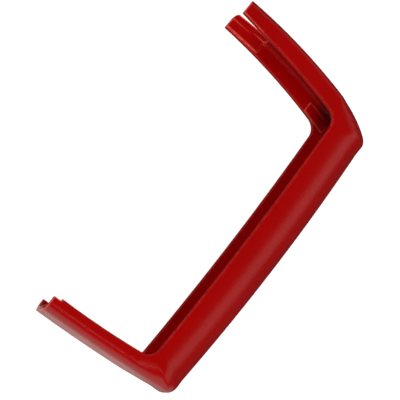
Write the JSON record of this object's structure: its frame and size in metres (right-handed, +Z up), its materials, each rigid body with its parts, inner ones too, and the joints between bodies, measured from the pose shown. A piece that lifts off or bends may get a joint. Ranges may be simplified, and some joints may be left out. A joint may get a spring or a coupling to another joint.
{
  "type": "handle grip sleeve",
  "caption": "Three-sided C-section grip sleeve in red plastic that covers the U-shaped handle bow of a beekeeper's frame grip.",
  "frame": {"origin": "middle of the footprint, on the surface that the sleeve lies on", "axes": "+X along the base from the short arm to the long arm, +Y along the arms towards their tips, +Z up out of the plane of the U"},
  "size_m": [0.1346, 0.0678, 0.02],
  "materials": {
    "red_plastic": "moulded, satin to semi-gloss"
  },
  "bodies": {
    "root": {"lower_half_shell": "red_plastic", "upper_half_shell": "red_plastic"}
  },
  "joints": []
}
